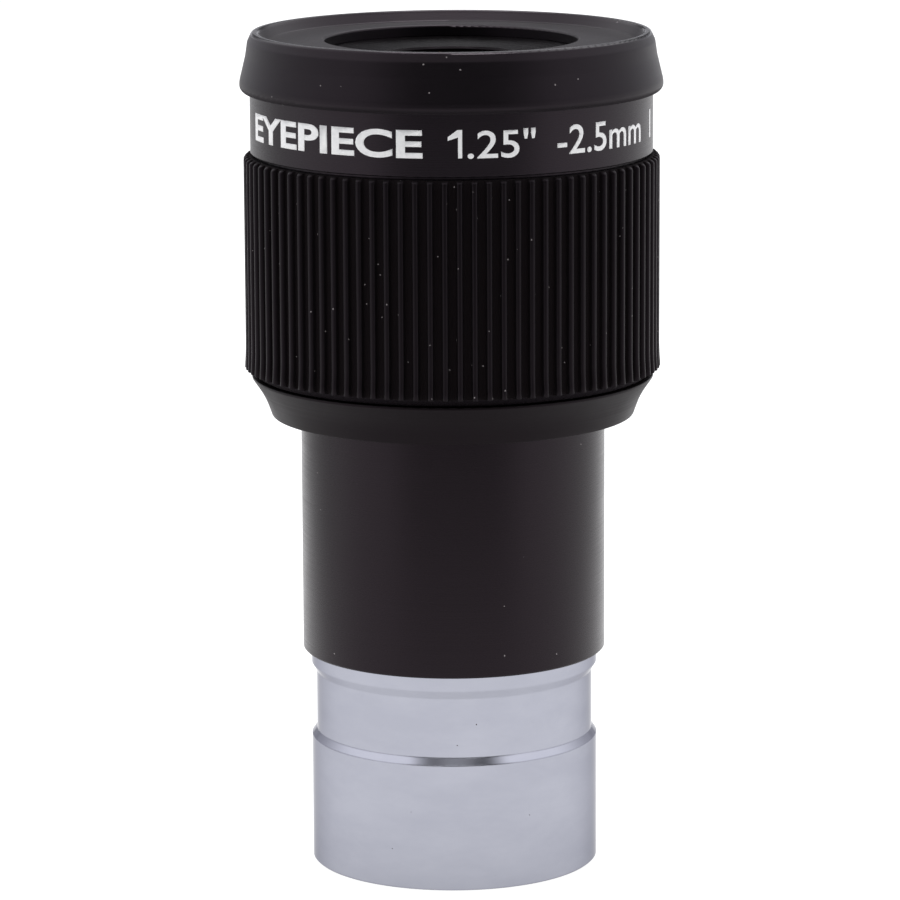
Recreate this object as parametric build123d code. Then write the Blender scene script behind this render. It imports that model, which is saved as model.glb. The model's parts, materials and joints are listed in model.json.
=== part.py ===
"""Short-focus 1.25 inch telescope eyepiece with a twist-up eyecup, as separate pieces, one STEP each.

Millimetres, +Z up along the optical axis, origin at the centre of the nosepiece's open end. A profile is a
list of (radius, height) corners, and most pieces are one profile turned about the axis. The eyepiece stands
on its nosepiece with the eyecup at the bottom of its travel.
"""

import math
import os

from build123d import *

# Driving dimensions
NOSEPIECE_R = 31.75 / 2  # the 1.25 inch barrel standard
INSERTION = 24.0  # depth of nosepiece that enters a focuser
TOTAL_HEIGHT = 92.5
TUBE_R = 16.75
FLANGE_Z = 50.4  # underside of the flared flange
SLEEVE_Z = 54.9  # lower end of the twist sleeve at rest
BAND_R = 22.0
LIFT = 9.0  # how far the eyecup rises
TWIST_DEG = 100.0  # over how much of a turn
RIB_COUNT = 90
RUNNING_GAP = 0.1  # radial clearance between the turning sleeve and the housing

# Nosepiece
UNDERCUT_R = 15.33
UNDERCUT_FROM, UNDERCUT_TO = 14.05, 22.35  # outer corners of the safety groove
UNDERCUT_BEVEL_LOW, UNDERCUT_BEVEL_HIGH = 0.75, 0.95
FILTER_R = 28.5 / 2  # nominal radius of the M28.5 filter thread
FILTER_DEPTH = 5.0
BARREL_BORE_R = 13.6
SPIGOT_R, SPIGOT_LENGTH = 15.2, 6.0  # screws into the extension tube
CELL_STOP_Z, CELL_STOP_R = 20.0, 12.6

# Field cell, the negative group inside the nosepiece
FIELD_CELL_Z = 11.0
FIELD_SEAT_R, FIELD_LENS_R = 8.0, 7.95
FIELD_RING_Z, FIELD_LENS_Z = 12.6, 13.8
FIELD_LIP_Z, FIELD_LIP_R = 18.6, 6.8

# Housing
TUBE_BORE_R = 14.6
COLLAR_R, COLLAR_TOP = 18.2, 60.0  # flange collar that the housing screws onto
FLANGE_TOP = SLEEVE_Z - RUNNING_GAP
HOUSING_R, HOUSING_TOP = 20.0, 89.2
CELL_R, CELL_TOP = 15.0, 84.0
LENS_BORE_R, LENS_R = 10.6, 10.5
LENS_CLEAR_R = 9.4  # radius of the polished part of each lens
BEZEL_R, BEZEL_TOP = 13.5, 90.4
EYE_HOLE_R, EYE_LENS_TOP = 8.0, 87.6
ORING_R, ORING_SECTION_R, ORING_Z = 19.3, 0.75, 85.6

# Sleeve, grip and eyecup
SLEEVE_BORE_R = HOUSING_R + RUNNING_GAP
SLEEVE_RECESS_R = 21.55  # the seat of the rubber grip
LIP_TOP, LIP_THICKNESS, LIP_HOLE_R = 90.45, 1.0, 13.9
GRIP_BOTTOM, GRIP_TOP = 55.6, 79.05
GRIP_BASE_R, RIB_TIP_R, GRIP_FOOT_R = 22.2, 22.76, 22.88
BAND_BOTTOM, BAND_TOP = 79.35, 87.0
NECK_R, BEAD_R, BEAD_Z = 20.9, 21.4, 89.0  # neck and bead that hold the eyecup
EYECUP_BOTTOM, EYECUP_OPENING_R = 86.05, 13.8

# Guide screws in helical slots
PIN_COUNT = 3
PIN_Z = 75.0
PIN_HEAD_R, PIN_SHANK_R = 1.45, 1.0
SLOT_WIDTH, DRILL_R = 3.0, 1.55  # the slots' drilled ends are a hair wider than their milled runs
PIN_TIP_R, PIN_HEAD_TOP_R = 16.4, 21.3
PIN_FIRST_DEG = 30.0

# Glide ring in the sleeve's bore
RING_Z, RING_HEIGHT, RING_GROOVE_R = 57.0, 3.0, 20.8
RING_GAP, RING_SPLIT_DEG = 0.06, 8.0


def turned(*corners, radii=None):
    """The solid of revolution of a closed profile, whose corners are rounded to radii where those are given."""
    if radii is None:
        outline = Polyline(*corners, close=True)
    else:
        outline = FilletPolyline(*corners, radius=radii, close=True)
    return revolve(make_face(Plane.XZ * outline), axis=Axis.Z)


def ring(inner_r, outer_r, bottom, top):
    """A plain ring of rectangular section."""
    return turned((inner_r, bottom), (outer_r, bottom), (outer_r, top), (inner_r, top))


def dome(z_flat, clear_r, sag):
    """The arc of a lens surface from its rim, level with z_flat, to its vertex sag above it."""
    radius = (clear_r**2 + sag**2) / (2 * abs(sag))
    half = clear_r / 2
    drop = radius - math.sqrt(radius**2 - half**2)
    middle_z = z_flat + sag - math.copysign(drop, sag)
    return ThreePointArc((clear_r, z_flat), (half, middle_z), (0, z_flat + sag))


def lens(outer_r, bottom, top, low_r=LENS_CLEAR_R, top_r=LENS_CLEAR_R, low_sag=0.0, top_sag=0.0):
    """A lens with flat seats at bottom and top, and spherical surfaces inside them. A positive sag is upward."""
    low = dome(bottom, low_r, low_sag)
    high = dome(top, top_r, top_sag)
    outline = Curve() + [
        low,
        Line((low_r, bottom), (outer_r, bottom)),
        Line((outer_r, bottom), (outer_r, top)),
        Line((outer_r, top), (top_r, top)),
        high,
        Line((0, top + top_sag), (0, bottom + low_sag)),
    ]
    return revolve(make_face(Plane.XZ * outline), axis=Axis.Z)


def spanner_slots(part, mid_r, z, width=1.4, depth=0.9):
    """Cuts the two opposite slots that a lens spanner turns a ring by, into the face at height z."""
    for side in (-1, 1):
        part -= Pos(side * mid_r, 0, z) * Box(4.0, width, 2 * depth)
    return part


def nosepiece_barrel():
    """Chromed 1.25 inch barrel with its safety undercut, filter thread bore and threaded spigot."""
    foot_chamfer, thread_chamfer, cell_chamfer = 0.15, 0.35, 0.65
    return turned(
        (FILTER_R + thread_chamfer, 0),
        (NOSEPIECE_R - foot_chamfer, 0),
        (NOSEPIECE_R, foot_chamfer),
        (NOSEPIECE_R, UNDERCUT_FROM),
        (UNDERCUT_R, UNDERCUT_FROM + UNDERCUT_BEVEL_LOW),
        (UNDERCUT_R, UNDERCUT_TO - UNDERCUT_BEVEL_HIGH),
        (NOSEPIECE_R, UNDERCUT_TO),
        (NOSEPIECE_R, INSERTION),
        (SPIGOT_R, INSERTION),
        (SPIGOT_R, INSERTION + SPIGOT_LENGTH),
        (CELL_STOP_R, INSERTION + SPIGOT_LENGTH),
        (CELL_STOP_R, CELL_STOP_Z),
        (BARREL_BORE_R, CELL_STOP_Z),
        (BARREL_BORE_R, FILTER_DEPTH + cell_chamfer),
        (FILTER_R, FILTER_DEPTH),
        (FILTER_R, thread_chamfer),
    )


def field_cell():
    """Black cell of the negative group, screwed up the nosepiece's bore against its stop."""
    funnel_r = 11.8
    cell = turned(
        (funnel_r, FIELD_CELL_Z),
        (BARREL_BORE_R, FIELD_CELL_Z),
        (BARREL_BORE_R, CELL_STOP_Z),
        (FIELD_LIP_R, CELL_STOP_Z),
        (FIELD_LIP_R, FIELD_LIP_Z),
        (FIELD_SEAT_R, FIELD_LIP_Z),
        (FIELD_SEAT_R, FIELD_RING_Z),
    )
    return spanner_slots(cell, 12.9, FIELD_CELL_Z)


def field_lenses():
    """The cemented negative doublet: a biconcave crown below a meniscus flint."""
    clear_r, joint_z = 7.0, 16.6
    crown = lens(FIELD_LENS_R, FIELD_LENS_Z, joint_z, clear_r, clear_r, 0.9, -0.8)
    flint = lens(FIELD_LENS_R, joint_z, FIELD_LIP_Z, clear_r, 6.8, -0.8, -0.5)
    return {"field_lens_crown": crown, "field_lens_flint": flint}


def field_retaining_ring():
    """Slotted ring that holds the negative group in its cell."""
    inner_low, inner_high = 7.3, 6.9
    body = turned(
        (inner_low, FIELD_RING_Z),
        (FIELD_SEAT_R, FIELD_RING_Z),
        (FIELD_SEAT_R, FIELD_LENS_Z),
        (inner_high, FIELD_LENS_Z),
    )
    return spanner_slots(body, 7.6, FIELD_RING_Z, width=1.0, depth=0.5)


def extension_tube():
    """Black tube between the nosepiece and the flange."""
    edge = 0.15
    return turned(
        (SPIGOT_R, INSERTION),
        (TUBE_R - edge, INSERTION),
        (TUBE_R, INSERTION + edge),
        (TUBE_R, COLLAR_TOP),
        (TUBE_BORE_R, COLLAR_TOP),
        (TUBE_BORE_R, INSERTION + SPIGOT_LENGTH),
        (SPIGOT_R, INSERTION + SPIGOT_LENGTH),
    )


def light_baffle():
    """Knife-edged stop half way up the extension tube."""
    z, height, knife, hole_r = 42.0, 1.6, 0.2, 6.5
    return turned(
        (hole_r, z),
        (TUBE_BORE_R, z),
        (TUBE_BORE_R, z + height),
        (TUBE_BORE_R - 1.5, z + height),
        (TUBE_BORE_R - 1.5, z + height / 2),
        (hole_r, z + knife),
    )


def base_flange():
    """Flared flange under the grip, with the collar that joins the tube and the housing."""
    return turned(
        (TUBE_R, FLANGE_Z),
        (19.95, FLANGE_Z),
        (20.75, 52.6),
        (22.1, 54.55),
        (22.1, FLANGE_TOP),
        (COLLAR_R, FLANGE_TOP),
        (COLLAR_R, COLLAR_TOP),
        (TUBE_R, COLLAR_TOP),
        radii=[0, 0.15, 8.0, 0.08, 0.08, 0, 0, 0],
    )


def pin_angles():
    """The directions of the guide screws, in degrees."""
    return [PIN_FIRST_DEG + i * 360 / PIN_COUNT for i in range(PIN_COUNT)]


def radial(angle, from_r, to_r, radius, z=PIN_Z):
    """A cylinder that lies along a radius of the eyepiece."""
    length = to_r - from_r
    return Rot(0, 0, angle) * Pos(from_r + length / 2, 0, z) * Rot(0, 90, 0) * Cylinder(radius, length)


def inner_housing():
    """Fixed housing that the sleeve turns on, with the O-ring's groove and the guide screws' holes."""
    oring_low, oring_high = ORING_Z - 1.0, ORING_Z + 1.0
    groove_r = ORING_R - ORING_SECTION_R
    edge = 0.4
    body = turned(
        (COLLAR_R, FLANGE_TOP),
        (HOUSING_R, FLANGE_TOP),
        (HOUSING_R, oring_low),
        (groove_r, oring_low),
        (groove_r, oring_high),
        (HOUSING_R, oring_high),
        (HOUSING_R, HOUSING_TOP - edge),
        (HOUSING_R - edge, HOUSING_TOP),
        (BEZEL_R, HOUSING_TOP),
        (BEZEL_R, CELL_TOP),
        (CELL_R, CELL_TOP),
        (CELL_R, COLLAR_TOP),
        (COLLAR_R, COLLAR_TOP),
    )
    for angle in pin_angles():
        body -= radial(angle, PIN_TIP_R - 0.4, HOUSING_R + 1, PIN_SHANK_R)
    return body


def damping_oring():
    """O-ring that gives the twist its drag."""
    return Pos(0, 0, ORING_Z) * Torus(ORING_R, ORING_SECTION_R)


def guide_screws():
    """Three slotted screws whose heads run in the sleeve's helical slots."""
    screws = []
    for angle in pin_angles():
        screw = radial(angle, PIN_TIP_R, HOUSING_R + 0.1, PIN_SHANK_R)
        screw += radial(angle, HOUSING_R, PIN_HEAD_TOP_R, PIN_HEAD_R)
        screw -= Rot(0, 0, angle) * Pos(PIN_HEAD_TOP_R, 0, PIN_Z) * Box(0.9, 0.45, 4)
        screws.append(screw)
    return Compound(children=screws)


def lens_cell():
    """Tube that holds the positive lenses, pinched between the housing's shoulder and the extension tube."""
    return ring(LENS_BORE_R, CELL_R, COLLAR_TOP, CELL_TOP)


def positive_lenses():
    """The five elements of the positive group from the top down, with their spacers and rings."""
    eye_joint, eye_low = 84.2, 83.0
    middle_top, middle_low = 79.0, 77.6
    rear_top, rear_joint, rear_low = 73.6, 72.4, 68.2
    lock_low, stop_z, stop_height = 66.2, 61.5, 1.2
    spacer_r, lock_r, stop_r = LENS_CLEAR_R + 0.15, 8.6, 4.6
    lock = ring(lock_r, LENS_BORE_R, lock_low, rear_low)
    return {
        "eye_lens_flint": lens(LENS_R, eye_joint, EYE_LENS_TOP, top_r=EYE_HOLE_R, low_sag=2.0, top_sag=0.5),
        "eye_lens_crown": lens(LENS_R, eye_low, eye_joint, low_sag=-2.4, top_sag=2.0),
        "upper_spacer": ring(spacer_r, LENS_BORE_R, middle_top, eye_low),
        "middle_lens": lens(LENS_R, middle_low, middle_top, low_sag=-1.6, top_sag=1.3),
        "lower_spacer": ring(spacer_r, LENS_BORE_R, rear_top, middle_low),
        "rear_lens_crown": lens(LENS_R, rear_joint, rear_top, low_sag=-2.2, top_sag=2.1),
        "rear_lens_flint": lens(LENS_R, rear_low, rear_joint, low_r=lock_r, low_sag=0.6, top_sag=-2.2),
        "lens_lock_ring": spanner_slots(lock, 9.6, lock_low),
        "field_stop": turned(
            (stop_r, stop_z),
            (LENS_BORE_R, stop_z),
            (LENS_BORE_R, stop_z + stop_height),
            (LENS_BORE_R - 1.2, stop_z + stop_height),
            (stop_r, stop_z + 0.15),
        ),
    }


def eye_lens_bezel():
    """Dished ring round the eye lens, screwed into the housing's mouth."""
    dish_z = BEZEL_TOP - 0.55
    return turned(
        (LENS_BORE_R, CELL_TOP),
        (BEZEL_R, CELL_TOP),
        (BEZEL_R, BEZEL_TOP),
        (BEZEL_R - 0.35, BEZEL_TOP),
        (EYE_HOLE_R + 0.25, dish_z),
        (EYE_HOLE_R, dish_z - 0.25),
        (EYE_HOLE_R, EYE_LENS_TOP),
        (LENS_BORE_R, EYE_LENS_TOP),
    )


def helical_slot(angle):
    """The cutters of one slot, a screw's path in the sleeve: its two drilled ends, then the milled run."""
    mid_r = (SLEEVE_BORE_R + SLEEVE_RECESS_R) / 2
    path = Helix(LIFT * 360 / TWIST_DEG, LIFT, mid_r)
    section = Plane(path @ 0, x_dir=(1, 0, 0), z_dir=path % 0) * Rectangle(4.0, SLOT_WIDTH)
    run = sweep(section, path=path, is_frenet=True)
    low_angle, low_z = angle - TWIST_DEG, PIN_Z - LIFT
    return [
        radial(angle, mid_r - 2.5, mid_r + 2.5, DRILL_R),
        radial(low_angle, mid_r - 2.5, mid_r + 2.5, DRILL_R, low_z),
        Rot(0, 0, low_angle) * Pos(0, 0, low_z) * run,
    ]


def twist_sleeve():
    """Aluminium sleeve with the marked band, the grip's seat, the eyecup's neck and three helical slots."""
    lip_underside = LIP_TOP - LIP_THICKNESS
    body = turned(
        (SLEEVE_BORE_R, SLEEVE_Z),
        (SLEEVE_RECESS_R, SLEEVE_Z),
        (SLEEVE_RECESS_R, BAND_BOTTOM),
        (BAND_R - 0.12, BAND_BOTTOM),
        (BAND_R, BAND_BOTTOM + 0.12),
        (BAND_R, BAND_TOP - 0.12),
        (BAND_R - 0.12, BAND_TOP),
        (NECK_R, BAND_TOP),
        (NECK_R, BEAD_Z),
        (BEAD_R, BEAD_Z),
        (BEAD_R, LIP_TOP),
        (LIP_HOLE_R, LIP_TOP),
        (LIP_HOLE_R, lip_underside),
        (SLEEVE_BORE_R, lip_underside),
        (SLEEVE_BORE_R, RING_Z + RING_HEIGHT),
        (RING_GROOVE_R, RING_Z + RING_HEIGHT),
        (RING_GROOVE_R, RING_Z),
        (SLEEVE_BORE_R, RING_Z),
    )
    for angle in pin_angles():
        for cutter in helical_slot(angle):
            body -= cutter
    return body


def glide_ring():
    """Split nylon ring that centres the sleeve on the housing and slides up with it."""
    body = ring(
        HOUSING_R + RING_GAP,
        RING_GROOVE_R - RING_GAP,
        RING_Z + RING_GAP,
        RING_Z + RING_HEIGHT - RING_GAP,
    )
    split = 2 * HOUSING_R * math.sin(math.radians(RING_SPLIT_DEG / 2))
    return body - Pos(HOUSING_R, 0, RING_Z + RING_HEIGHT / 2) * Box(4, split, 2 * RING_HEIGHT)


def grip_section():
    """The grip's cross-section: a ring of narrow ribs with rounded tops."""
    pitch = 2 * math.pi / RIB_COUNT
    foot, shoulder = 0.24, 0.17  # half widths of a rib in shares of the pitch
    shoulder_r = GRIP_FOOT_R - 0.15

    def point(i, share, r):
        turn = (i + share) * pitch
        return (r * math.cos(turn), r * math.sin(turn))

    outline = []
    for i in range(RIB_COUNT):
        left_foot, left = point(i, -foot, GRIP_BASE_R), point(i, -shoulder, shoulder_r)
        right, right_foot = point(i, shoulder, shoulder_r), point(i, foot, GRIP_BASE_R)
        outline += [
            Line(left_foot, left),
            ThreePointArc(left, point(i, 0, GRIP_FOOT_R), right),
            Line(right, right_foot),
            Line(right_foot, point(i + 1, -foot, GRIP_BASE_R)),
        ]
    return make_face(Curve() + outline) - Circle(SLEEVE_RECESS_R)


def rubber_grip():
    """Ribbed rubber band stretched over the sleeve's seat, which hides the slots and screws."""
    ribbed = Pos(0, 0, GRIP_BOTTOM) * extrude(grip_section(), GRIP_TOP - GRIP_BOTTOM)
    flare_top = 58.4
    envelope = turned(
        (SLEEVE_RECESS_R - 1, GRIP_BOTTOM),
        (GRIP_FOOT_R, GRIP_BOTTOM),
        (RIB_TIP_R, flare_top),
        (RIB_TIP_R, GRIP_TOP),
        (SLEEVE_RECESS_R - 1, GRIP_TOP),
        radii=[0, 0.12, 2.0, 0.5, 0],
    )
    return ribbed & envelope


def rubber_eyecup():
    """Rubber eyecup folded down: flat seat round the opening, rounded fold, and a skirt over the band."""
    skirt_gap, opening_z, foot_z = 0.12, 91.62, 91.36
    return turned(
        (BAND_R + skirt_gap, EYECUP_BOTTOM),
        (23.16, EYECUP_BOTTOM),
        (23.09, 87.25),
        (22.45, 89.9),
        (22.22, 91.45),
        (21.75, TOTAL_HEIGHT),
        (21.1, TOTAL_HEIGHT),
        (20.1, foot_z),
        (EYECUP_OPENING_R, opening_z),
        (EYECUP_OPENING_R, LIP_TOP),
        (BEAD_R, LIP_TOP),
        (BEAD_R, BEAD_Z),
        (NECK_R, BEAD_Z),
        (NECK_R, BAND_TOP),
        (BAND_R + skirt_gap, BAND_TOP),
        radii=[0.1, 0.75, 2.0, 4.0, 1.0, 0.35, 0.25, 0.35, 0.25, 0, 0, 0, 0, 0, 0],
    )


def all_parts():
    """Every piece by its node name."""
    return {
        "nosepiece_barrel": nosepiece_barrel(),
        "field_cell": field_cell(),
        **field_lenses(),
        "field_retaining_ring": field_retaining_ring(),
        "extension_tube": extension_tube(),
        "light_baffle": light_baffle(),
        "base_flange": base_flange(),
        "inner_housing": inner_housing(),
        "lens_cell": lens_cell(),
        **positive_lenses(),
        "eye_lens_bezel": eye_lens_bezel(),
        "damping_oring": damping_oring(),
        "guide_screws": guide_screws(),
        "glide_ring": glide_ring(),
        "twist_sleeve": twist_sleeve(),
        "rubber_grip": rubber_grip(),
        "rubber_eyecup": rubber_eyecup(),
    }


os.makedirs("parts", exist_ok=True)
for node, shape in all_parts().items():
    export_step(shape, f"parts/{node}.step")
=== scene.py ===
"""Looks of the telescope eyepiece: materials, moulded grip, marking, filter thread, studio and camera.

Metres, in the CAD frame: +Z up along the optical axis, the eyepiece standing on the floor at z = 0, and
the marking facing -Y. Sizes are in millimetres where a name ends in _MM or _mm, and MM turns them into
metres. Colours are linear.
"""

import json
import math

import bmesh
import bpy
from mathutils import Matrix, Vector


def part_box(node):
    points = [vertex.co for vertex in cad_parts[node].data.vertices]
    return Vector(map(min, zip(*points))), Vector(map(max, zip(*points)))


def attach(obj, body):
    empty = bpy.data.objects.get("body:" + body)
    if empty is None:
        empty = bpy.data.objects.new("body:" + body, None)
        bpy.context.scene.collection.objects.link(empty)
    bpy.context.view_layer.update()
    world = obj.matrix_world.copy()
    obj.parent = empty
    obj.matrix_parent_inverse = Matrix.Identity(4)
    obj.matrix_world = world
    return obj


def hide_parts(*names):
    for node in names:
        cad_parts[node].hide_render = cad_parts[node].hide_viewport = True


MM = 0.001
BODY, SLEEVE = "eyepiece_body", "twist_eyecup"

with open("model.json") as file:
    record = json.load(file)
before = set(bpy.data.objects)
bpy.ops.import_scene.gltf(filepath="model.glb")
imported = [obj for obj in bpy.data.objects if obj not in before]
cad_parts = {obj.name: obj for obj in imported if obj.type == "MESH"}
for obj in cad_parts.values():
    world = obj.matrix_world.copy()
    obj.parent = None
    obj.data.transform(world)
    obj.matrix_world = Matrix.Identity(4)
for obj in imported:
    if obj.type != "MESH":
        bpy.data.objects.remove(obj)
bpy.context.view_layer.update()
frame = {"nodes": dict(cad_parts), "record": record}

# Camera: the distance, height and pitch of a catalogue view from slightly above
CAMERA_PLACE = (-0.00034, -0.5258, 0.1493)
CAMERA_PITCH, CAMERA_ROLL = 11.119, 0.279  # degrees, down and anticlockwise
SENSOR, CAMERA_LENS = 36.0, 193.73  # mm

# The dark wedge of the floor and the room on the camera's side
WEDGE_TURN = 4.0  # degrees from -Y towards +X
WEDGE_OUTER, WEDGE_INNER = 0.55, 0.93  # cosines of the angles where the dark wedge begins and is full

# Floor: a light table just under the eyepiece
FLOOR_HALF, FLOOR_DROP = 4.0, 0.00002  # m
FLOOR_GLOW, FLOOR_DARK_SHARE = 0.82, 0.04
FLOOR_FADE = (0.09, 0.28)  # m from the axis, where the wedge darkens the floor
BEHIND_FADE = (-0.1, 0.5)  # sines of the angles from the X axis towards +Y, where the floor's sides dim
LEFT_FADE, LEFT_DIM = (-0.2, -0.09), 0.6  # m along X, and the share of the glow that is lost
RIGHT_FADE, RIGHT_DIM = (0.1, 0.2), 0.3

# Room: its colours, and where one gives way to another, as components of the direction looked in
ROOM_LEFT, ROOM_RIGHT = (0.75, 0.75, 0.80), (0.80, 0.80, 0.85)
ROOM_BACK, ROOM_TOP, ROOM_DARK = (0.12, 0.12, 0.13), (1.5, 1.5, 1.55), (0.03, 0.03, 0.035)
SIDES_FADE = (-0.6, 0.6)  # X, from the left colour to the right one
CEILING_FADE = (0.2, 0.6)  # Z, from the walls to the ceiling
WEDGE_TOP_FADE = (0.79, 0.95)  # Z, where the dark wedge ends
BACK_FADE = (0.8, 0.96)  # Y, where the back wall begins
BACK_FOOT_FADE, BACK_TOP_FADE = (0.05, 0.16), (0.3, 0.6)  # Z, the back wall's lower and upper edges

# Blacks: the violet-brown cast of their reflections, the dust on them, and the tones they vary between
BLACK_TINT = (1.0, 0.80, 0.95, 1.0)
DUST = (0.24, 0.22, 0.22)
TUBE_TONES = (0.0022, 0.0015, 0.0016), (0.0034, 0.0024, 0.0027)
FLANGE_TONES = (0.0018, 0.0013, 0.0013), (0.0030, 0.0022, 0.0022)
BAND_TONES = (0.0018, 0.0015, 0.0019), (0.0030, 0.0026, 0.0031)
INNER_TONES = (0.0014, 0.0012, 0.0013), (0.0026, 0.0022, 0.0024)
EYECUP_TONES = (0.0020, 0.0017, 0.0020), (0.0033, 0.0029, 0.0034)
GROOVE_TONE, RIB_TONE = (0.0014, 0.0010, 0.0007), (0.0010, 0.0009, 0.0009)
WORN_TONE = (0.0020, 0.0018, 0.0019)
SHADE_MM = 56.0  # height on the sleeve, below which it is hidden in the gap under the grip
RIM_POLISH_MM = (92.15, 92.4)  # heights between which the eyecup's rim turns shiny

# Rubber grip: the radii of its seat, grooves, ribs and foot, and its ribs' sections
GRIP_SEAT_MM, GROOVE_MM, RIB_MM, GRIP_FOOT_MM = 21.55, 22.2, 22.76, 22.88
RIBS = 90
RIB_SHARE = 0.50  # of the pitch that a rib takes up
RIB_SAMPLES, GROOVE_SAMPLES = 13, 2
FLANK_POWER, CROWN_POWER = 3, 0.6  # of the curve that rounds a rib
EDGE_MM, CROWN_MM, FLARE_TOP_MM = 0.14, 0.45, 2.6  # foot's rounding, top's rounding, height of the flare
EDGE_STEPS, CROWN_STEPS = 4, 6
EDGE_GROOVE_SHARE, CROWN_GROOVE_SHARE = 0.6, 0.25  # of a rib's rounding, that the grooves follow
FLARE_SHARES, FLARE_POWER = (0.3, 0.55, 0.75, 0.9, 1.0), 1.5
TIP_FADE_MM = (GROOVE_MM + 0.05, RIB_MM - 0.15)  # radii between which a rib turns smooth

# Filter thread, M28.5 x 0.6
THREAD_WALL_MM, THREAD_CREST_MM, THREAD_PITCH_MM = 14.25, 13.95, 0.6
THREAD_FROM_MM, THREAD_TO_MM = 0.75, 4.6  # above the barrel's end
THREAD_FLAT_MM, THREAD_SINK_MM = 0.06, 0.03  # half width of the crest, and its foot's depth in the wall
THREAD_FOOT_SHARE = 0.42  # of the pitch, on each side of the crest's middle
THREAD_STEPS = 96  # per turn

# Band marking
BAND_MM = 22.0
CAP_HEIGHT_MM = 3.05
BASELINE_MM = 81.35
PAINT_MM = 0.02
STRIP_MM = 0.35  # width of the strips that a word is cut into, to bend round the band
# The figure one, which the font draws without a flag: its outline and the gap after it, in its heights
ONE_OUTLINE = ((0, 0), (0, 0.74), (-0.30, 0.62), (-0.30, 0.75), (-0.02, 1), (0.12, 1), (0.12, 0))
ONE_GAP = 0.22
# Each word's name, text, first and last angle in degrees from -Y towards +X, and the font's extra weight
WORDS = (
    ("marking_word", "EYEPIECE", -74.0, -8.0, 0.028),
    ("marking_barrel_size", "1.25\"", -1.1, 23.6, 0.008),
    ("marking_focal_length", "-2.5mm", 30.4, 67.3, 0.008),
    ("marking_index_line", "|", 76.0, 77.6, 0.0),
)


# ---------------------------------------------------------------- node helpers


class Nodes:
    """A node tree, with short calls for the nodes that the looks and the studio share."""

    def __init__(self, tree, output_kind):
        self.nodes = tree.nodes
        self.links = tree.links
        self.nodes.clear()
        self.output = self.nodes.new(output_kind)

    def link(self, source, target):
        self.links.new(source, target)

    def put(self, socket, value):
        """Links value to the socket when it is an output, and sets it when it is a number or colour."""
        if isinstance(value, bpy.types.NodeSocket):
            self.link(value, socket)
        else:
            socket.default_value = value

    def math(self, operation, a, b=0.0):
        node = self.nodes.new("ShaderNodeMath")
        node.operation = operation
        self.put(node.inputs[0], a)
        self.put(node.inputs[1], b)
        return node.outputs[0]

    def split(self, vector):
        node = self.nodes.new("ShaderNodeSeparateXYZ")
        self.link(vector, node.inputs[0])
        return node.outputs

    def length(self, x, y):
        squares = self.math("ADD", self.math("MULTIPLY", x, x), self.math("MULTIPLY", y, y))
        return self.math("SQRT", squares)

    def noise(self, vector, scale, detail, roughness=0.5):
        node = self.nodes.new("ShaderNodeTexNoise")
        self.link(vector, node.inputs["Vector"])
        node.inputs["Scale"].default_value = scale
        node.inputs["Detail"].default_value = detail
        node.inputs["Roughness"].default_value = roughness
        return node.outputs["Fac"]

    def ramp(self, value, low, high, low_out=0.0, high_out=1.0, smooth=False):
        """Value mapped from low..high to low_out..high_out, clamped."""
        node = self.nodes.new("ShaderNodeMapRange")
        node.interpolation_type = "SMOOTHSTEP" if smooth else "LINEAR"
        self.link(value, node.inputs["Value"])
        node.inputs["From Min"].default_value = low
        node.inputs["From Max"].default_value = high
        node.inputs["To Min"].default_value = low_out
        node.inputs["To Max"].default_value = high_out
        return node.outputs["Result"]

    def mix(self, factor, a, b):
        """Colour a where factor is 0 and b where it is 1."""
        node = self.nodes.new("ShaderNodeMix")
        node.data_type = "RGBA"
        self.link(factor, node.inputs["Factor"])
        for name, colour in (("A", a), ("B", b)):
            socket = next(i for i in node.inputs if i.name == name and i.type == "RGBA")
            self.put(socket, colour if isinstance(colour, bpy.types.NodeSocket) else (*colour, 1.0))
        return next(o for o in node.outputs if o.type == "RGBA")

    def towards_camera(self, x, y):
        """1 in the wedge of directions on the camera's side, fading to 0 on either side of it."""
        turn = math.radians(WEDGE_TURN)
        across = self.math("MULTIPLY", x, math.sin(turn))
        ahead = self.math("MULTIPLY", y, math.cos(turn))
        along = self.math("SUBTRACT", across, ahead)
        cosine = self.math("DIVIDE", along, self.math("MAXIMUM", self.length(x, y), 1e-6))
        return self.ramp(cosine, WEDGE_OUTER, WEDGE_INNER, smooth=True)


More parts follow.
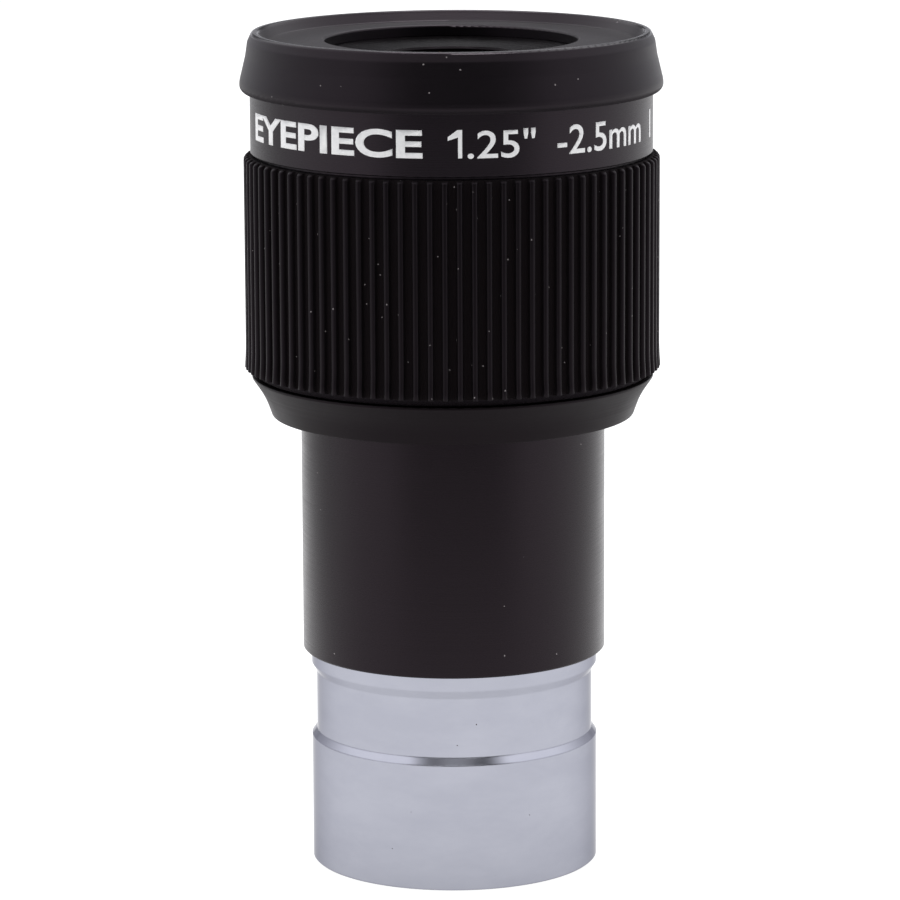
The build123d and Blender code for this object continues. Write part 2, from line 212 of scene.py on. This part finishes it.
class Look(Nodes):
    """A material with a principled shader, and patterns laid out in the object's own coordinates."""

    def __init__(self, name):
        self.material = bpy.data.materials.new(name)
        self.material.use_nodes = True
        super().__init__(self.material.node_tree, "ShaderNodeOutputMaterial")
        self.shader = self.nodes.new("ShaderNodeBsdfPrincipled")
        self.link(self.shader.outputs[0], self.output.inputs["Surface"])
        self.place = self.nodes.new("ShaderNodeTexCoord").outputs["Object"]

    def set(self, **values):
        """Sets the shader's own sockets, whose names are written with underscores."""
        for name, value in values.items():
            self.put(self.shader.inputs[name.replace("_", " ")], value)

    def scaled(self, factors):
        """The object's own coordinates, in millimetres, times a factor along each axis."""
        node = self.nodes.new("ShaderNodeVectorMath")
        node.operation = "MULTIPLY"
        self.link(self.place, node.inputs[0])
        node.inputs[1].default_value = [f / MM for f in factors]
        return node.outputs[0]

    def turned(self, per_radius, per_height, per_angle):
        """Coordinates of a turned piece: radius and height in mm, and the angle, each times a factor."""
        x, y, z = self.split(self.place)
        join = self.nodes.new("ShaderNodeCombineXYZ")
        self.link(self.math("MULTIPLY", self.length(x, y), per_radius / MM), join.inputs[0])
        self.link(self.math("MULTIPLY", z, per_height / MM), join.inputs[1])
        self.link(self.math("MULTIPLY", self.math("ARCTAN2", y, x), per_angle), join.inputs[2])
        return join.outputs[0]

    def radius_mm(self):
        x, y, _ = self.split(self.place)
        return self.math("MULTIPLY", self.length(x, y), 1 / MM)

    def height_mm(self):
        return self.math("MULTIPLY", self.split(self.place)[2], 1 / MM)

    def specks(self, spacing_mm, size_mm, share):
        """1 inside small ragged flecks, 0 elsewhere. share is the part of the cells that hold a fleck."""
        cells = self.nodes.new("ShaderNodeTexVoronoi")
        self.link(self.scaled((1, 1, 1)), cells.inputs["Vector"])
        cells.inputs["Scale"].default_value = 1 / spacing_mm
        ragged = self.ramp(self.noise(self.scaled((1, 1, 1)), 9 / spacing_mm, 2), 0.3, 0.7, -0.02, 0.02)
        distance = self.math("ADD", cells.outputs["Distance"], ragged)
        near = self.math("LESS_THAN", distance, size_mm / spacing_mm)
        split = self.nodes.new("ShaderNodeSeparateColor")
        self.link(cells.outputs["Color"], split.inputs[0])
        chosen = self.math("LESS_THAN", split.outputs[0], share)
        return self.math("MULTIPLY", near, chosen)

    def rounded(self, radius_mm):
        """The surface's normal, eased round its edges."""
        node = self.nodes.new("ShaderNodeBevel")
        node.samples = 6
        node.inputs["Radius"].default_value = radius_mm * MM
        return node.outputs[0]

    def underside(self, dull):
        """0 on surfaces that face up or sideways, rising to dull on those that face down."""
        facing = self.split(self.nodes.new("ShaderNodeNewGeometry").outputs["Normal"])[2]
        return self.ramp(facing, -0.6, -0.05, dull, 0.0)

    def bump(self, height, distance_mm, strength, normal=None):
        """The surface's normal, or the given one, raised by the height."""
        node = self.nodes.new("ShaderNodeBump")
        node.inputs["Strength"].default_value = strength
        node.inputs["Distance"].default_value = distance_mm * MM
        self.link(height, node.inputs["Height"])
        if normal is not None:
            self.link(normal, node.inputs["Normal"])
        return node.outputs["Normal"]


# ---------------------------------------------------------------- materials


def chrome():
    """Bright plating over a turned surface: a faint haze, fine tool lines, eased edges and tiny pits."""
    t = Look("chrome")
    haze = t.noise(t.turned(0.3, 0.3, 2.2), 1.0, 4, 0.6)
    lines = t.noise(t.turned(9, 9, 0.6), 1.0, 2)
    pits = t.specks(1.9, 0.06, 0.5)
    tone = t.mix(t.ramp(haze, 0.35, 0.65), (0.352, 0.360, 0.414), (0.378, 0.386, 0.440))
    t.set(Base_Color=t.mix(pits, tone, (0.10, 0.09, 0.09)), Metallic=1.0)
    t.set(Specular_Tint=(0.55, 0.55, 0.57, 1.0))
    polish = t.math("ADD", t.ramp(haze, 0.3, 0.7, 0.05, 0.08), t.ramp(lines, 0.3, 0.7, 0.0, 0.03))
    t.set(Roughness=t.math("ADD", polish, t.math("MULTIPLY", pits, 0.4)))
    t.set(Normal=t.bump(lines, 0.0006, 0.5, t.rounded(0.2)))
    return t.material


def anodised(name, tones, rough, specular, dust=0.5, shade_mm=0.0):
    """Satin black anodising on turned aluminium: fine lathe lines, uneven tone and a little dust.

    The finish is duller on undersides, and below shade_mm, where grease and dirt sit in the gap.
    """
    t = Look(name)
    patches = t.noise(t.scaled((1, 1, 1)), 0.12, 4, 0.6)
    lines = t.noise(t.turned(14, 14, 0.8), 1.0, 2)
    flecks = t.specks(2.2, 0.08, dust)
    tone = t.mix(t.ramp(patches, 0.3, 0.7), *tones)
    t.set(Base_Color=t.mix(flecks, tone, DUST), Metallic=0.0, Specular_Tint=BLACK_TINT)
    satin = t.math("ADD", t.ramp(patches, 0.3, 0.7, *rough), t.ramp(lines, 0.3, 0.7, -0.03, 0.05))
    shade = t.ramp(t.height_mm(), shade_mm, shade_mm + 0.3, 0.5, 0.0)
    dull = t.math("MAXIMUM", t.underside(0.2), shade)
    t.set(Roughness=t.math("ADD", t.math("ADD", satin, dull), t.math("MULTIPLY", flecks, 0.4)))
    t.set(Specular_IOR_Level=specular, Normal=t.bump(lines, 0.002, 0.6, t.rounded(0.1)))
    return t.material


def ribbed_rubber():
    """Moulded rubber with smooth rib tips, paler where they are worn, dull brown grooves, and dust."""
    t = Look("ribbed_rubber")
    grain = t.noise(t.scaled((1, 1, 1)), 9.0, 4, 0.6)
    patches = t.noise(t.scaled((1, 1, 0.5)), 0.25, 4, 0.6)
    tips = t.ramp(t.radius_mm(), *TIP_FADE_MM, smooth=True)
    wear = t.math("MULTIPLY", tips, t.ramp(patches, 0.45, 0.75))
    worn = t.mix(wear, t.mix(tips, GROOVE_TONE, RIB_TONE), WORN_TONE)
    flecks = t.specks(1.6, 0.08, 0.8)
    t.set(Base_Color=t.mix(flecks, worn, DUST), Metallic=0.0, Specular_Tint=BLACK_TINT)
    dull = t.math("MAXIMUM", t.ramp(tips, 0.0, 1.0, 0.5, 0.0), t.underside(0.5))
    t.set(Roughness=t.math("ADD", t.ramp(grain, 0.3, 0.7, 0.34, 0.44), dull))
    t.set(Specular_IOR_Level=0.17, Normal=t.bump(grain, 0.008, 0.5))
    return t.material


def eyecup_rubber():
    """Soft matte rubber with a fine skin, pale dust flecks and a slightly polished rim."""
    t = Look("eyecup_rubber")
    grain = t.noise(t.scaled((1, 1, 1)), 7.0, 5, 0.65)
    patches = t.noise(t.scaled((1, 1, 1)), 0.15, 4, 0.6)
    tone = t.mix(t.ramp(patches, 0.3, 0.7), *EYECUP_TONES)
    flecks = t.specks(1.8, 0.09, 0.8)
    t.set(Base_Color=t.mix(flecks, tone, DUST), Metallic=0.0, Specular_Tint=BLACK_TINT)
    polish = t.ramp(t.height_mm(), *RIM_POLISH_MM, 0.0, -0.24)
    matte = t.math("ADD", t.ramp(grain, 0.3, 0.7, 0.34, 0.42), polish)
    t.set(Roughness=t.math("ADD", matte, t.underside(0.5)))
    t.set(Specular_IOR_Level=0.24, Normal=t.bump(grain, 0.008, 0.5))
    return t.material


def coated_glass():
    """Optical glass with a green-violet anti-reflection coating, and faint wiping marks."""
    t = Look("coated_glass")
    smears = t.noise(t.turned(0.6, 0.6, 3.0), 1.0, 3)
    t.set(Base_Color=t.mix(t.ramp(smears, 0.3, 0.7), (0.93, 0.97, 0.95), (0.97, 0.98, 0.97)))
    t.set(Roughness=t.ramp(smears, 0.4, 0.8, 0.0, 0.02), IOR=1.52, Transmission_Weight=1.0)
    t.set(Thin_Film_Thickness=380.0, Thin_Film_IOR=1.38)
    return t.material


def paint():
    """White pad-printed ink, a little uneven."""
    t = Look("marking_ink")
    cover = t.noise(t.scaled((1, 1, 1)), 2.5, 4, 0.6)
    t.set(Base_Color=t.mix(t.ramp(cover, 0.3, 0.7), (0.80, 0.80, 0.80), (0.90, 0.90, 0.89)))
    t.set(Roughness=t.ramp(cover, 0.3, 0.7, 0.45, 0.6), Normal=t.bump(cover, 0.004, 0.5))
    return t.material


def nylon():
    """Milky natural nylon."""
    t = Look("nylon")
    cloud = t.noise(t.scaled((1, 1, 1)), 0.5, 3)
    t.set(Base_Color=t.mix(cloud, (0.72, 0.71, 0.66), (0.80, 0.79, 0.75)))
    t.set(Roughness=t.ramp(cloud, 0.3, 0.7, 0.35, 0.5), Subsurface_Weight=0.1)
    return t.material


def steel():
    """Turned steel of the guide screws."""
    t = Look("screw_steel")
    lines = t.noise(t.scaled((6, 6, 6)), 1.0, 3)
    t.set(Base_Color=t.mix(lines, (0.42, 0.42, 0.44), (0.56, 0.56, 0.58)), Metallic=1.0)
    t.set(Roughness=t.ramp(lines, 0.3, 0.7, 0.22, 0.36), Normal=t.bump(lines, 0.004, 0.4))
    return t.material


def greased_rubber():
    """Black nitrile with a film of grease."""
    t = Look("greased_rubber")
    film = t.noise(t.scaled((1, 1, 1)), 1.2, 3)
    t.set(Base_Color=t.mix(film, (0.010, 0.010, 0.010), (0.020, 0.019, 0.018)))
    t.set(Roughness=t.ramp(film, 0.3, 0.7, 0.15, 0.4), Specular_IOR_Level=0.5)
    return t.material


# ---------------------------------------------------------------- meshes


def add_mesh(name, vertices, faces, material, smooth=True):
    mesh = bpy.data.meshes.new(name)
    mesh.from_pydata(vertices, [], faces)
    mesh.validate()
    mesh.polygons.foreach_set("use_smooth", [smooth] * len(mesh.polygons))
    mesh.materials.append(material)
    made = bpy.data.objects.new(name, mesh)
    bpy.context.scene.collection.objects.link(made)
    return made


def rib_shape():
    """Samples across a rib and a groove: the turn in shares of the pitch, and the rib's height share."""
    shape = []
    half = RIB_SHARE / 2
    for i in range(RIB_SAMPLES):
        across = math.sin(math.pi * (i / (RIB_SAMPLES - 1) - 0.5))
        shape.append((half * across, (1 - abs(across) ** FLANK_POWER) ** CROWN_POWER))
    for i in range(1, GROOVE_SAMPLES + 1):
        shape.append((half + (1 - RIB_SHARE) * i / (GROOVE_SAMPLES + 1), 0.0))
    return shape


def grip_stations(bottom, top):
    """Heights up the grip, each with the groove's radius and the rib's height there, in mm."""
    full = RIB_MM - GROOVE_MM
    flare = GRIP_FOOT_MM - RIB_MM
    stations = []
    for i in range(EDGE_STEPS + 1):
        turn = math.pi / 2 * i / EDGE_STEPS
        inset = EDGE_MM * (1 - math.sin(turn))
        z = bottom + EDGE_MM * (1 - math.cos(turn))
        stations.append((z, GROOVE_MM - inset * EDGE_GROOVE_SHARE, full + flare - inset))
    for share in FLARE_SHARES:
        z = bottom + EDGE_MM + share * FLARE_TOP_MM
        stations.append((z, GROOVE_MM, full + flare * (1 - share) ** FLARE_POWER))
    for i in range(CROWN_STEPS + 1):
        turn = math.pi / 2 * i / CROWN_STEPS
        drop = CROWN_MM * (1 - math.cos(turn))
        z = top - CROWN_MM + CROWN_MM * math.sin(turn)
        stations.append((z, GROOVE_MM - drop * CROWN_GROOVE_SHARE, full - drop))
    return stations


def rubber_grip(material):
    """The ribbed rubber band: rounded ribs with rolled upper ends and a slightly flared foot."""
    low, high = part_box("rubber_grip")
    bottom, top = low.z / MM, high.z / MM
    shape = rib_shape()
    turns = [(i + share) * 2 * math.pi / RIBS for i in range(RIBS) for share, _ in shape]
    heights = [height for _ in range(RIBS) for _, height in shape]
    rings = [[(GRIP_SEAT_MM, bottom)] * len(turns)]
    for z, groove, rib in grip_stations(bottom, top):
        rings.append([(groove + rib * h, z) for h in heights])
    rings.append([(GRIP_SEAT_MM, top)] * len(turns))
    vertices = []
    for ring in rings:
        for turn, (r, z) in zip(turns, ring):
            vertices.append((r * MM * math.cos(turn), r * MM * math.sin(turn), z * MM))
    faces = []
    count, levels = len(turns), len(rings)
    for level in range(levels):
        above = (level + 1) % levels
        for i in range(count):
            j = (i + 1) % count
            faces.append((level * count + i, level * count + j, above * count + j, above * count + i))
    made = add_mesh("rubber_grip_moulding", vertices, faces, material)
    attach(made, SLEEVE)
    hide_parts("rubber_grip")


def helix_crest(name, bottom, top, material):
    """The internal thread's crest: a ridge wound up the bore, fading over a quarter turn at its ends."""
    steps = int((top - bottom) / THREAD_PITCH_MM * THREAD_STEPS)
    wall = THREAD_WALL_MM + THREAD_SINK_MM
    foot = THREAD_PITCH_MM * THREAD_FOOT_SHARE
    vertices, faces = [], []
    for i in range(steps + 1):
        turn = 2 * math.pi * i / THREAD_STEPS
        z = bottom + (top - bottom) * i / steps
        fade = min(1.0, 4 * i / THREAD_STEPS, 4 * (steps - i) / THREAD_STEPS)
        crest = THREAD_WALL_MM - (THREAD_WALL_MM - THREAD_CREST_MM) * fade
        for r, dz in ((wall, -foot), (crest, -THREAD_FLAT_MM), (crest, THREAD_FLAT_MM), (wall, foot)):
            vertices.append((r * MM * math.cos(turn), r * MM * math.sin(turn), (z + dz) * MM))
    for i in range(steps):
        for k in range(4):
            m = (k + 1) % 4
            faces.append((4 * i + k, 4 * i + m, 4 * i + 4 + m, 4 * i + 4 + k))
    faces.append((3, 2, 1, 0))
    faces.append(tuple(4 * steps + k for k in range(4)))
    return add_mesh(name, vertices, faces, material, smooth=False)


def filter_thread(material):
    """The thread that a filter screws into, in the barrel's lower end."""
    low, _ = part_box("nosepiece_barrel")
    start = low.z / MM
    made = helix_crest("filter_thread_crest", start + THREAD_FROM_MM, start + THREAD_TO_MM, material)
    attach(made, BODY)


def flat_text(text, weight):
    """A flat mesh of the text in the built-in font, where a leading figure one is drawn with its flag."""
    curve = bpy.data.curves.new("text", "FONT")
    curve.body = text.removeprefix("1")
    curve.offset = weight
    curve.resolution_u = 6
    flat = bpy.data.objects.new("text", curve)
    bpy.context.scene.collection.objects.link(flat)
    bpy.context.view_layer.update()
    mesh = bpy.data.meshes.new_from_object(flat.evaluated_get(bpy.context.evaluated_depsgraph_get()))
    bpy.data.objects.remove(flat)
    bpy.data.curves.remove(curve)
    work = bmesh.new()
    work.from_mesh(mesh)
    bpy.data.meshes.remove(mesh)
    if text.startswith("1"):
        top = max(v.co.y for v in work.verts)
        corners = [work.verts.new(((x - ONE_GAP) * top, y * top, 0)) for x, y in ONE_OUTLINE]
        work.faces.new(reversed(corners))
    return work


def wrapped_word(name, text, start_deg, end_deg, weight, material):
    """A word of raised ink on the band, from one angle to the other, counted from -Y towards +X."""
    work = flat_text(text, weight)
    left = min(v.co.x for v in work.verts)
    right = max(v.co.x for v in work.verts)
    low = 0.0 if text.startswith("-") else min(v.co.y for v in work.verts)
    high = max(v.co.y for v in work.verts)
    arc = math.radians(end_deg - start_deg)
    strips = max(2, int(BAND_MM * arc / STRIP_MM))
    for i in range(1, strips):
        parts = work.verts[:] + work.edges[:] + work.faces[:]
        at = (left + (right - left) * i / strips, 0, 0)
        bmesh.ops.bisect_plane(work, geom=parts, plane_co=at, plane_no=(1, 0, 0))
    for element in bmesh.ops.extrude_face_region(work, geom=work.faces[:])["geom"]:
        if isinstance(element, bmesh.types.BMVert):
            element.co.z = 1.0
    for v in work.verts:
        turn = math.radians(start_deg) + arc * (v.co.x - left) / (right - left)
        z = BASELINE_MM + CAP_HEIGHT_MM * (v.co.y - low) / (high - low)
        r = BAND_MM - PAINT_MM + 2 * PAINT_MM * v.co.z
        v.co = Vector((r * math.sin(turn), -r * math.cos(turn), z)) * MM
    bmesh.ops.recalc_face_normals(work, faces=work.faces[:])
    mesh = bpy.data.meshes.new(name)
    work.to_mesh(mesh)
    work.free()
    mesh.materials.append(material)
    made = bpy.data.objects.new(name, mesh)
    bpy.context.scene.collection.objects.link(made)
    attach(made, SLEEVE)


# ---------------------------------------------------------------- studio


def floor():
    """A broad pale light table, plain to the eye, which light and sight pass through from below."""
    t = Look("floor")
    x, y, _ = t.split(t.place)
    far = t.ramp(t.length(x, y), *FLOOR_FADE, smooth=True)
    wedge = t.math("MULTIPLY", t.towards_camera(x, y), far)
    front = t.ramp(wedge, 0.0, 1.0, FLOOR_GLOW, FLOOR_GLOW * FLOOR_DARK_SHARE)
    behind = t.ramp(t.math("DIVIDE", y, t.length(x, y)), *BEHIND_FADE, smooth=True)
    left = t.ramp(x, *LEFT_FADE, LEFT_DIM, 0.0, smooth=True)
    right = t.ramp(x, *RIGHT_FADE, 0.0, RIGHT_DIM, smooth=True)
    dim = t.math("MULTIPLY", behind, t.math("ADD", left, right))
    glow = t.math("MULTIPLY", front, t.math("SUBTRACT", 1.0, dim))
    t.set(Base_Color=(0.35, 0.35, 0.35, 1.0), Roughness=0.9, Specular_IOR_Level=0.0)
    t.set(Emission_Color=(1.0, 1.0, 1.0, 1.0), Emission_Strength=glow)
    through = t.nodes.new("ShaderNodeBsdfTransparent")
    choose = t.nodes.new("ShaderNodeMixShader")
    side = t.nodes.new("ShaderNodeNewGeometry")
    t.link(side.outputs["Backfacing"], choose.inputs[0])
    t.link(t.shader.outputs[0], choose.inputs[1])
    t.link(through.outputs[0], choose.inputs[2])
    t.link(choose.outputs[0], t.output.inputs["Surface"])
    corners = []
    for side_x, side_y in ((-1, -1), (1, -1), (1, 1), (-1, 1)):
        corners.append((side_x * FLOOR_HALF, side_y * FLOOR_HALF, -FLOOR_DROP))
    add_mesh("floor", corners, [(0, 1, 2, 3)], t.material, smooth=False)


def studio_world():
    """A soft white room, brighter overhead, dim behind the eyepiece and dark on the camera's side."""
    world = bpy.data.worlds.new("studio")
    bpy.context.scene.world = world
    world.use_nodes = True
    t = Nodes(world.node_tree, "ShaderNodeOutputWorld")
    back = t.nodes.new("ShaderNodeBackground")
    t.link(back.outputs[0], t.output.inputs["Surface"])
    x, y, z = t.split(t.nodes.new("ShaderNodeTexCoord").outputs["Generated"])
    low_enough = t.ramp(z, *WEDGE_TOP_FADE, 1.0, 0.0, smooth=True)
    dark = t.math("MULTIPLY", t.towards_camera(x, y), low_enough)
    sides = t.mix(t.ramp(x, *SIDES_FADE), ROOM_LEFT, ROOM_RIGHT)
    lit = t.mix(t.ramp(z, *CEILING_FADE, smooth=True), sides, ROOM_TOP)
    foot = t.ramp(z, *BACK_FOOT_FADE, smooth=True)
    top = t.ramp(z, *BACK_TOP_FADE, 1.0, 0.0, smooth=True)
    behind = t.math("MULTIPLY", t.ramp(y, *BACK_FADE, smooth=True), t.math("MULTIPLY", foot, top))
    room = t.mix(behind, lit, ROOM_BACK)
    t.link(t.mix(dark, room, ROOM_DARK), back.inputs["Color"])


def area_light(name, place, target, size, power):
    data = bpy.data.lights.new(name, "AREA")
    data.shape = "RECTANGLE"
    data.size, data.size_y = size
    data.energy = power
    made = bpy.data.objects.new(name, data)
    made.location = place
    made.rotation_euler = (Vector(target) - Vector(place)).to_track_quat("-Z", "Y").to_euler()
    bpy.context.scene.collection.objects.link(made)


def camera():
    """A long lens a little above the eyepiece, looking down at it from -Y."""
    data = bpy.data.cameras.new("camera")
    data.sensor_width = SENSOR
    data.lens = CAMERA_LENS
    data.clip_start, data.clip_end = 0.01, 20.0
    made = bpy.data.objects.new("camera", data)
    level = Matrix.Rotation(math.radians(90 - CAMERA_PITCH), 4, "X")
    roll = Matrix.Rotation(math.radians(-CAMERA_ROLL), 4, "Z")
    made.matrix_world = Matrix.Translation(CAMERA_PLACE) @ level @ roll
    bpy.context.scene.collection.objects.link(made)
    bpy.context.scene.camera = made


def lights():
    """Softboxes overhead and above the camera, which light the rim and the barrel's step."""
    area_light("top_softbox", place=(0, 0.16, 0.9), target=(0, 0, 0.09), size=(0.5, 0.4), power=3.5)
    area_light("front_softbox", place=(0, -0.39, 0.51), target=(0, 0, 0.05), size=(0.5, 0.04), power=0.32)


# ---------------------------------------------------------------- the eyepiece


def dress_cad_nodes():
    """Gives each CAD node its material: its own look, or else glass or the black of the inner pieces."""
    inner_black = anodised("anodised_inner", INNER_TONES, (0.20, 0.28), 0.06, dust=0.1)
    glass = coated_glass()
    looks = {
        "nosepiece_barrel": chrome(),
        "extension_tube": anodised("anodised_tube", TUBE_TONES, (0.23, 0.29), 0.22),
        "base_flange": anodised("anodised_flange", FLANGE_TONES, (0.28, 0.36), 0.11),
        "twist_sleeve": anodised("anodised_band", BAND_TONES, (0.24, 0.30), 0.28, shade_mm=SHADE_MM),
        "rubber_eyecup": eyecup_rubber(),
        "guide_screws": steel(),
        "glide_ring": nylon(),
        "damping_oring": greased_rubber(),
    }
    for slot in frame["record"]["subparts"]:
        name = slot["node"]
        is_glass = slot["material_slot"] == "coated_glass"
        look = looks.get(name) or (glass if is_glass else inner_black)
        for place in frame["nodes"][name].material_slots:
            place.material = look


def marking():
    """Generic white marking round the band: the object's kind, its sizes and an index line."""
    ink = paint()
    for name, text, start_deg, end_deg, weight in WORDS:
        wrapped_word(name, text, start_deg, end_deg, weight, ink)


dress_cad_nodes()
rubber_grip(ribbed_rubber())
filter_thread(frame["nodes"]["nosepiece_barrel"].material_slots[0].material)
marking()
floor()
studio_world()
lights()
camera()
bpy.context.scene.view_settings.view_transform = "Standard"
